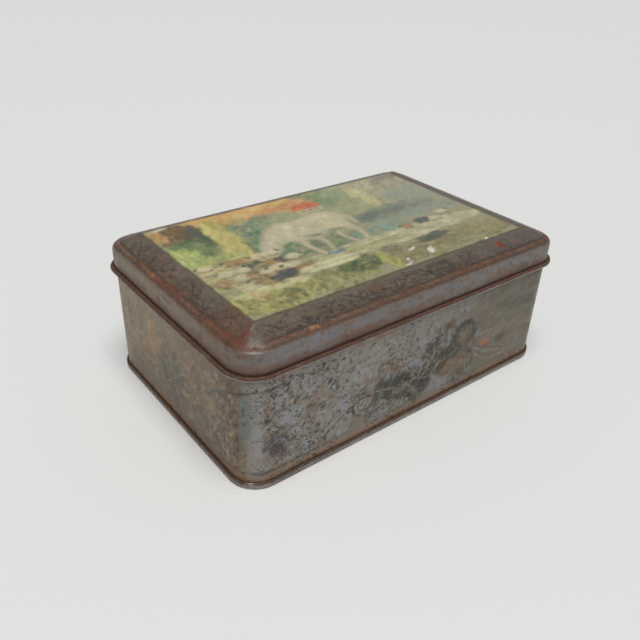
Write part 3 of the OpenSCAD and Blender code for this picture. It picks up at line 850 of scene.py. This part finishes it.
class Finish:
    """A node material and short ways to add to it. All patterns use the piece's own coordinates."""

    def __init__(self, name):
        self.material = bpy.data.materials.new(name)
        self.material.use_nodes = True
        self.tree = self.material.node_tree
        self.shader = self.tree.nodes["Principled BSDF"]
        self.place = self.add("TexCoord").outputs["Object"]

    def add(self, kind, settings=None, inputs=None):
        node = self.tree.nodes.new("ShaderNode" + kind)
        for key, value in (settings or {}).items():
            setattr(node, key, value)
        for key, value in (inputs or {}).items():
            self.put(node.inputs[key], value)
        return node

    def put(self, socket, value):
        if isinstance(value, bpy.types.NodeSocket):
            self.tree.links.new(value, socket)
        elif isinstance(value, str):
            socket.default_value = (*linear(value), 1)
        else:
            socket.default_value = value

    def noise(self, size, detail, rough, stretch=None, offset=0.0):
        """Noise between 0 and 1 with features of about that many millimetres."""
        where = self.place
        if stretch or offset:
            where = self.add("Mapping", None, {"Vector": where, "Location": (offset, offset, offset),
                                               "Scale": stretch or (1, 1, 1)}).outputs["Vector"]
        return self.add("TexNoise", None, {"Vector": where, "Scale": 1 / (size * MM), "Detail": detail,
                                           "Roughness": rough}).outputs["Fac"]

    def math(self, kind, a, b=0.0):
        return self.add("Math", {"operation": kind}, {0: a, 1: b}).outputs[0]

    def times(self, a, b):
        return self.math("MULTIPLY", a, b)

    def plus(self, a, b):
        return self.math("ADD", a, b)

    def between(self, value, start, end, low=0.0, high=1.0):
        """Smooth change from low to high as value goes from start to end."""
        return self.add("MapRange", {"interpolation_type": "SMOOTHSTEP"},
                        {"Value": value, "From Min": start, "From Max": end, "To Min": low,
                         "To Max": high}).outputs["Result"]

    def mix(self, part, a, b, kind="MIX"):
        return self.add("Mix", {"data_type": "RGBA", "blend_type": kind}, {0: part, 6: a, 7: b}).outputs[2]

    def painted(self, name):
        return self.add("Attribute", {"attribute_name": name})

    def end(self, colour, roughness, height, metallic):
        bump = self.add("Bump", None, {"Height": height, "Strength": 0.6, "Distance": 0.08 * MM})
        for socket, value in (("Base Color", colour), ("Roughness", roughness), ("Metallic", metallic),
                              ("Normal", bump.outputs["Normal"])):
            self.put(self.shader.inputs[socket], value)
        return self.material


def printed_tin(name, warm):
    """Old print under varnish: the painted colours, fine grain, dark specks, and rust coming through.
    warm is the brown of its clouds."""
    f = Finish(name)
    rust_share, speck_share, bare = (f.painted(n).outputs["Fac"] for n in ("rust", "speck", "bare"))
    grain = f.noise(0.5, 4, 0.7)
    cloud = f.noise(5, 5, 0.6, offset=0.3)
    colour = f.painted("paint").outputs["Color"]
    colour = f.mix(f.between(grain, 0.3, 0.7, 0.0, 0.6), colour, f.mix(1.0, colour, "a8a49e", "MULTIPLY"))
    colour = f.mix(f.between(cloud, 0.52, 0.72, 0.0, 0.3), colour, warm)
    light = f.noise(1.1, 3, 0.6, (0.7, 0.7, 1.2), 3.1)
    light = f.times(f.between(light, 0.6, 0.68, 0.0, 0.45), speck_share)
    colour = f.mix(light, colour, "9a9aa0")
    crook = f.math("ABSOLUTE", f.math("SUBTRACT", f.noise(2.2, 1.5, 0.5, (0.8, 0.8, 1.3), 5.3), 0.5))
    gaps = f.math("SUBTRACT", f.noise(2.6, 2, 0.5, offset=6.1), f.between(speck_share, 0.2, 1.0, 0.75, 0.5))
    mark = f.times(f.between(crook, 0.035, 0.06, 0.8, 0.0), f.between(gaps, 0.0, 0.04))
    colour = f.mix(mark, colour, "2a2522")
    spots = f.noise(1.5, 3, 0.6, (0.75, 0.75, 1.2), 0.7)
    limit = f.between(speck_share, 0.0, 1.0, 0.74, 0.6)
    speck = f.between(f.math("SUBTRACT", spots, limit), 0.0, 0.04, 0.0, 0.85)
    colour = f.mix(speck, colour, "1f1c1a")
    crust = f.noise(3.0, 8, 0.68, offset=1.1)
    rusty = f.between(f.plus(crust, f.times(rust_share, 0.42)), 0.66, 0.9, 0.0, 1.0)
    tint = f.mix(f.between(f.noise(1.4, 4, 0.6, offset=2.0), 0.4, 0.68), "38241a", "764327")
    colour = f.mix(f.times(rusty, 0.8), colour, tint)
    rough = f.between(cloud, 0.3, 0.7, 0.34, 0.48)
    rough = f.plus(rough, f.times(rusty, 0.3))
    height = f.plus(f.times(grain, 0.4), f.times(f.times(rusty, crust), 1.2))
    height = f.math("SUBTRACT", height, f.times(speck, 0.35))
    metallic = f.times(bare, f.between(rusty, 0.0, 1.0, 0.75, 0.1))
    return f.end(colour, rough, height, metallic)


def tinplate(name, colour_low, colour_high, rust_level=None):
    """Bare tinned steel gone dull, with brown tarnish and rust. rust_level is a function of the finish
    that gives the share of rust. Without one it comes from the piece's own rust values."""
    f = Finish(name)
    cloud = f.noise(14, 5, 0.6)
    grain = f.noise(0.6, 4, 0.65, offset=0.5)
    colour = f.mix(f.between(cloud, 0.35, 0.68), colour_low, colour_high)
    colour = f.mix(f.between(grain, 0.35, 0.7, 0.0, 0.45), colour, f.mix(1.0, colour, "8a847c", "MULTIPLY"))
    share = f.painted("rust").outputs["Fac"] if rust_level is None else rust_level(f)
    colour = f.mix(f.between(share, 0.2, 0.9, 0.0, 0.85), colour, "5b4436")
    crust = f.noise(2.6, 8, 0.7, offset=1.7)
    rusty = f.between(f.plus(crust, f.times(share, 0.5)), 0.62, 0.92)
    tint = f.mix(f.between(f.noise(1.2, 4, 0.6, offset=2.6), 0.38, 0.68), "38251b", "6a3f27")
    colour = f.mix(f.times(rusty, 0.85), colour, tint)
    rough = f.plus(f.between(cloud, 0.3, 0.7, 0.3, 0.44), f.times(rusty, 0.35))
    height = f.plus(f.times(grain, 0.4), f.times(rusty, crust))
    shine = f.times(f.between(rusty, 0.0, 0.8, 0.85, 0.1), f.between(share, 0.3, 1.0, 1.0, 0.45))
    return f.end(colour, rough, height, shine)


def rust_on_seam(f):
    """More rust in the groove over the bottom seam than on its face, and more on the left side."""
    place = f.add("SeparateXYZ", None, {"Vector": f.place})
    edges = [f.between(f.math("ABSOLUTE", place.outputs[axis]), (half - 5) * MM, (half - 1) * MM)
             for axis, half in (("X", HALF_X), ("Y", HALF_Y))]
    edge = f.math("MAXIMUM", *edges)
    groove = f.between(place.outputs["Z"], 2.0 * MM, SEAM_TOP * MM, 0.1, 0.65)
    share = f.plus(f.times(edge, groove), 0.15)
    return f.plus(share, f.between(place.outputs["X"], -(HALF_X - 6) * MM, -HALF_X * MM, 0.0, 0.15))


# ---------------------------------------------------------------- pieces

def paint_attribute(mesh, name, values):
    if values.ndim == 1:
        mesh.attributes.new(name, "FLOAT", "POINT").data.foreach_set("value", values.astype(np.float32))
    else:
        full = np.concatenate([values, np.ones((len(values), 1))], 1).astype(np.float32)
        mesh.attributes.new(name, "FLOAT_COLOR", "POINT").data.foreach_set("color", full.ravel())


def quads_of(grid, material):
    return [(quad, material) for quad in grid.reshape(-1, 4).tolist()]


def shoulder_start():
    return arc(SHOULDER, SHOULDER_RADIUS, SHOULDER_ANGLE, SHOULDER_ANGLE + 1, 1)[0]


def lid_shape(place):
    """Small dents of handling: the flat top sinks a little, and the border and skirt are not quite true."""
    x, y, z = place.T
    along, out = unroll(x, y)
    inside = np.minimum(FLAT_X - np.abs(x), FLAT_Y - np.abs(y))
    sink = ease(inside, 0, 14) * (DENT + DENT_CHANGE * fractal(x, y, 46, 71))
    z = z - sink * (z > LID_TOP - 1)
    ring_x, ring_y = round_the_tin(along)
    wave = smooth_noise(ring_x, ring_y, 42, 72) + 0.4 * smooth_noise(ring_x + 60, ring_y, 15, 73)
    free = ease(z, NOTCH_TOP + 0.5, NOTCH_TOP + 5) * ease(out, -CORNER, -4)
    return bulged(x, y, z, out, LID_WAVE * wave * free)


def make_lid(materials):
    notch = [NOTCH_INNER, NOTCH_OUTER]
    xs = stations([-FLAT_X, -notch[1], -notch[0], notch[0], notch[1], FLAT_X], LID_STEP)
    ys = stations([-FLAT_Y, FLAT_Y], LID_STEP)
    base, out = columns_round(ys, xs, ys, xs, LID_CORNER_STEPS)
    wire = (WIRE_OUT, WIRE_HEIGHT)
    start = shoulder_start()
    face = joined(run((-CORNER, LID_TOP), CREASE, LID_STEP), run(CREASE, start, 0.8),
                  arc(SHOULDER, SHOULDER_RADIUS, SHOULDER_ANGLE, 0, 6),
                  run((SKIRT_FACE, SHOULDER[1]), (SKIRT_FACE, NOTCH_TOP), 1.2),
                  run((SKIRT_FACE, NOTCH_TOP), (SKIRT_FACE, WIRE_HEIGHT), 1.0))
    roll_inside = arc(wire, ROLL_RADIUS, 180, 490, 12)
    roll_outside = arc(wire, ROLL_RADIUS + SHEET, 490, 180, 24)
    back = joined(roll_outside, run((SKIRT_GAP, WIRE_HEIGHT), (SKIRT_GAP, NOTCH_TOP), 1.0),
                  run((SKIRT_GAP, NOTCH_TOP), (SKIRT_GAP, SHOULDER[1]), 4),
                  arc(SHOULDER, SHOULDER_RADIUS - SHEET, 0, SHOULDER_ANGLE, 3),
                  [CREASE_INSIDE, (-CORNER, LID_TOP - SHEET)])
    rows = np.concatenate([joined(face, roll_inside), back])
    print_end = len(face) - 1
    vertices = swept(base, out, rows)
    count = len(base)
    quads = bands(len(rows), count, closed=False)
    at_notch = np.abs(rows[:, 1] - NOTCH_TOP) < 1e-6
    row_face = int(np.where(at_notch & (rows[:, 0] > SKIRT_FACE - 0.01))[0][0])
    row_back = int(np.where(at_notch & (rows[:, 0] < SKIRT_GAP + 0.01))[0][0])
    # columns of the two notches, where the rolled rim is cut away for the hinge straps
    behind = out[:, 1] > 0.999
    in_notch = behind & (np.abs(base[:, 0]) > notch[0] - 1e-3) & (np.abs(base[:, 0]) < notch[1] + 1e-3)
    faces = []
    for row in range(len(rows) - 1):
        material = 0 if row < print_end else 1
        for col in range(count):
            cut = in_notch[col] and in_notch[(col + 1) % count] and row_face <= row < row_back
            if not cut:
                faces.append((quads[row, col].tolist(), material))
    for col in np.where(in_notch)[0]:
        after = (col + 1) % count
        if in_notch[after]:
            faces.append(([row_face * count + col, row_face * count + after,
                           row_back * count + after, row_back * count + col], 1))
        if not (in_notch[after] and in_notch[col - 1]):
            faces.append(([row * count + col for row in range(row_face, row_back + 1)], 1))
    # the flat top: a grid for the picture above, one plain face below
    first = len(vertices)
    grid_x, grid_y = np.meshgrid(xs, ys)
    grid = np.stack([grid_x, grid_y, np.full_like(grid_x, LID_TOP)], 2).reshape(-1, 3)
    number = first + np.arange(len(grid)).reshape(grid_x.shape)
    faces += quads_of(np.stack([number[:-1, :-1], number[:-1, 1:], number[1:, 1:], number[1:, :-1]], 2), 0)
    ring = [(len(rows) - 1) * count + col for col in range(count)
            if np.any(np.abs(base[col] - base[col - 1]) > 1e-6)]
    faces.append((ring, 1))
    lid = make_object("tin_lid", np.concatenate([vertices, grid]), faces, materials, lid_shape)

    mesh = lid.data
    place = positions(mesh)
    x, y, z = place.T
    along, outside = unroll(x, y)
    down = np.where(z > SHOULDER[1], outside + CORNER, CORNER + SKIRT_FACE + SHOULDER[1] - z)
    flat = np.minimum(FLAT_X - np.abs(x), FLAT_Y - np.abs(y)) > -0.01
    colour = paint_border().at(along, down)
    colour[flat] = paint_picture().at(x, y)[flat]
    bead = ease(np.hypot(outside - WIRE_OUT, z - WIRE_HEIGHT), 1.9, 1.5)
    patchy = fractal(along, z * 2, 12, 81)
    lift = ease(np.abs(down - 13.8), 2.4, 0.6) * ~flat
    rust = 0.32 * lift + 0.28 * (~flat) + 0.5 * ease(down, 26, 27.6) * ~flat + 0.3 * patchy * ~flat
    # the rolled rim is rusty above and keeps some shine below
    left = ease(along, -118, -140) * ease(along, -270, -250)
    above = ease(z, WIRE_HEIGHT - 0.1, WIRE_HEIGHT + 0.7)
    rust = np.where(bead > 0.5, 0.2 + 0.65 * above + 0.3 * patchy + 0.35 * left * (1 - above), rust)
    hidden = (z < LID_TOP - 0.2) & (outside < SKIRT_GAP + 0.05) & (z < SHOULDER[1] + 8) & (bead < 0.5)
    interior = hidden & normals_point_in(mesh)
    rust = np.where(interior, 0.12 + 0.15 * patchy * (z < LID_TOP - SHEET - 0.1), rust)
    paint_attribute(mesh, "paint", colour)
    paint_attribute(mesh, "rust", np.clip(rust, 0, 1))
    paint_attribute(mesh, "speck", np.where(flat, 0.0, 0.35 + 0.2 * patchy))
    paint_attribute(mesh, "bare", np.where(flat, 0.0, (0.2 + 0.3 * ease(down, 17, 19)) * (1 - 0.7 * left)))
    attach(lid, "lid")
    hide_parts("lid_shell")


def normals_point_in(mesh):
    """Which vertices belong to the inside of a shell: their normal points at the middle, or down."""
    normal = np.zeros(len(mesh.vertices) * 3, np.float32)
    mesh.vertex_normals.foreach_get("vector", normal)
    normal, place = normal.reshape(-1, 3), positions(mesh)
    outward = normal[:, 0] * place[:, 0] / HALF_X ** 2 + normal[:, 1] * place[:, 1] / HALF_Y ** 2
    return (outward < 0) | (normal[:, 2] < -0.3)


def wall_shape(place):
    """The wall is a little wavy between its seam and its rim, but true where the straps sit."""
    x, y, z = place.T
    along, out = unroll(x, y)
    ring_x, ring_y = round_the_tin(along)
    wave = smooth_noise(ring_x, ring_y + z, 44, 74) + 0.35 * smooth_noise(ring_x + z, ring_y, 13, 75)
    free = ease(z, SEAM_TOP + 1, 16) * ease(z, WIRE_HEIGHT - 4, 56)
    free *= np.where(y > FLAT_Y, ease(np.abs(np.abs(x) - (NOTCH_INNER + NOTCH_OUTER) / 2), 8, 16), 1.0)
    return bulged(x, y, z, out, WALL_WAVE * wave * free)


def make_body_wall(materials):
    groove = (LOCK_SEAM, LOCK_SEAM + 0.3)
    back = stations([-FLAT_X, -LOCK_SEAM - 0.02, -LOCK_SEAM, groove[0] - 0.02, *groove,
                     groove[1] + 0.02, FLAT_X], WALL_BACK_STEP)
    base, out = columns_round(stations([-FLAT_Y, FLAT_Y], WALL_RIGHT_STEP), back,
                              stations([-FLAT_Y, FLAT_Y], WALL_LEFT_STEP),
                              stations([-FLAT_X, FLAT_X], WALL_FRONT_STEP), WALL_CORNER_STEPS)
    wall, hook, hook_base = -SHEET / 2, LAYER_GAP * 2 + SHEET * 1.5, SHEET * 1.5 + LAYER_GAP
    bend, hem = 0.25, (SHEET + LAYER_GAP) / 2
    hem_height = BODY_TOP - hem - SHEET / 2

    def side(offset, steps, spacing):
        """One face of the sheet, from its hook in the bottom seam up to where the top edge folds over."""
        return joined([(hook + offset, SEAM_TOP - 0.9)],
                      arc((hook - bend, hook_base + bend), bend + offset, 0, -90, steps),
                      arc((wall + bend, hook_base + bend), bend + offset, -90, -180, steps),
                      run((wall - offset, hook_base + bend), (wall - offset, SEAM_TOP), 2),
                      run((wall - offset, SEAM_TOP), (wall - offset, LOCK_SEAM_ENDS[0]), 2),
                      run((wall - offset, LOCK_SEAM_ENDS[0] + 0.05), (wall - offset, WIRE_HEIGHT), spacing),
                      run((wall - offset, WIRE_HEIGHT), (wall - offset, LOCK_SEAM_ENDS[1] - 0.05), 2.2),
                      run((wall - offset, LOCK_SEAM_ENDS[1]), (wall - offset, hem_height), 2.2))
    outer = joined(side(-SHEET / 2, 3, WALL_ROW_STEP),
                   arc((wall - hem, hem_height), hem + SHEET / 2, 0, 180, 8),
                   [(wall - 2 * hem - SHEET / 2, hem_height - HEM_DROP)])
    inner = joined(side(SHEET / 2, 3, 9), arc((wall - hem, hem_height), hem - SHEET / 2, 0, 180, 4),
                   [(wall - 2 * hem + SHEET / 2, hem_height - HEM_DROP)])[::-1]
    rows = np.concatenate([outer, inner])
    vertices = swept(base, out, rows)
    # the lock seam: folded sheet inside the back, and the fine line it leaves outside
    x, y, z = vertices.T
    behind = y > FLAT_Y + CORNER - 1
    within = (z > LOCK_SEAM_ENDS[0] + 0.01) & (z < LOCK_SEAM_ENDS[1] - 0.01)
    folded = behind & within & (np.abs(x) < LOCK_SEAM + 0.01) & (np.abs(y - HALF_Y + SHEET) < 0.05)
    line = behind & (z > SEAM_TOP) & (z < WIRE_HEIGHT + 0.1) & (x > groove[0] - 0.01) & (x < groove[1] + 0.01)
    line &= np.abs(y - HALF_Y) < 0.05
    vertices[:, 1] -= 2 * SHEET * folded + 0.12 * line
    quads = bands(len(rows), len(base), closed=True)
    last_print = int(np.argmax(outer[:, 1]))
    faces = quads_of(quads[:last_print], 0) + quads_of(quads[last_print:], 1)
    wall_piece = make_object("tin_wall", vertices, faces, materials, wall_shape)

    mesh = wall_piece.data
    x, y, z = positions(mesh).T
    along, outside = unroll(x, y)
    inside = normals_point_in(mesh) & (outside < -0.2)
    patchy = fractal(along, z, 16, 82)
    foot, rim = ease(z, 11, 3.5), ease(z, 66, 71) * ease(z, 74.5, 73)
    left = ease(along, -118, -140)
    front = ease(along, -126, -108) * ease(along, 62, 34)
    rust = 0.42 * foot + 0.35 * rim + 0.22 + 0.25 * patchy - 0.15 * front
    rust = np.where(z > 74.5, 0.15 + 0.15 * patchy, rust)
    rust = np.where(inside, 0.1 + 0.2 * patchy + 0.35 * ease(z, 14, 4) + 0.25 * ease(z, 80, 86), rust)
    speck = 0.25 + 0.5 * front + 0.2 * left * ease(along, -175, -150) + 0.7 * patchy * front + 0.2 * patchy
    bare = 0.2 + 0.3 * front - 0.15 * left
    paint_attribute(mesh, "paint", paint_wall().at(along, z))
    paint_attribute(mesh, "rust", np.clip(rust, 0, 1))
    paint_attribute(mesh, "speck", np.clip(speck, 0, 1))
    paint_attribute(mesh, "bare", np.clip(bare, 0, 1))
    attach(wall_piece, "tin_body")
    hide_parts("body_wall")


def make_stage():
    floor_mesh = bpy.data.meshes.new("floor")
    corners = [(x * FLOOR_REACH, y * FLOOR_REACH, 0) for x, y in ((-1, -1), (1, -1), (1, 1), (-1, 1))]
    floor_mesh.from_pydata(corners, [], [(0, 1, 2, 3)])
    floor = bpy.data.objects.new("floor", floor_mesh)
    bpy.context.collection.objects.link(floor)
    finish = bpy.data.materials.new("pale_floor")
    finish.use_nodes = True
    shader = finish.node_tree.nodes["Principled BSDF"]
    shader.inputs["Base Color"].default_value = (0.79, 0.79, 0.765, 1)
    shader.inputs["Roughness"].default_value = 0.55
    floor_mesh.materials.append(finish)
    world = bpy.data.worlds.new("world")
    world.use_nodes = True
    nodes, links = world.node_tree.nodes, world.node_tree.links
    way, split, fade = (nodes.new("ShaderNode" + kind) for kind in ("TexCoord", "SeparateXYZ", "MapRange"))
    for key, value in (("From Min", 0.02), ("From Max", 0.25), ("To Min", 0.72), ("To Max", 0.26)):
        fade.inputs[key].default_value = value
    links.new(way.outputs["Generated"], split.inputs["Vector"])
    links.new(split.outputs["Z"], fade.inputs["Value"])
    links.new(fade.outputs["Result"], nodes["Background"].inputs["Strength"])
    nodes["Background"].inputs["Color"].default_value = (0.95, 0.96, 1.0, 1)
    bpy.context.scene.world = world
    lamp = bpy.data.lights.new("softbox", "SUN")
    lamp.angle, lamp.energy = math.radians(34), 2.32
    light = bpy.data.objects.new("softbox", lamp)
    light.rotation_euler = Vector((-0.12, -0.24, 1.0)).to_track_quat("Z", "Y").to_euler()
    bpy.context.collection.objects.link(light)
    bpy.context.scene.view_settings.view_transform = "Standard"


# ---------------------------------------------------------------- the scene

make_camera()
plate = tinplate("worn_tinplate", "817c73", "a09b91")
make_lid([printed_tin("lid_print", "6a543f"), plate])
make_body_wall([printed_tin("wall_print", "74604a"), plate])
finishes = {"bottom_panel": tinplate("bottom_tinplate", "85807a", "a19c96", rust_on_seam),
            "lid_wire": tinplate("dark_wire", "5f5750", "766c62", lambda f: 0.6)}
strap_finish = tinplate("strap_tinplate", "857b6c", "9b9183", lambda f: 0.45)
finishes["hinge_strap_left"] = finishes["hinge_strap_right"] = strap_finish
for node_name, finish in finishes.items():
    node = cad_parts[node_name]
    node.data.materials.clear()
    node.data.materials.append(finish)
make_stage()
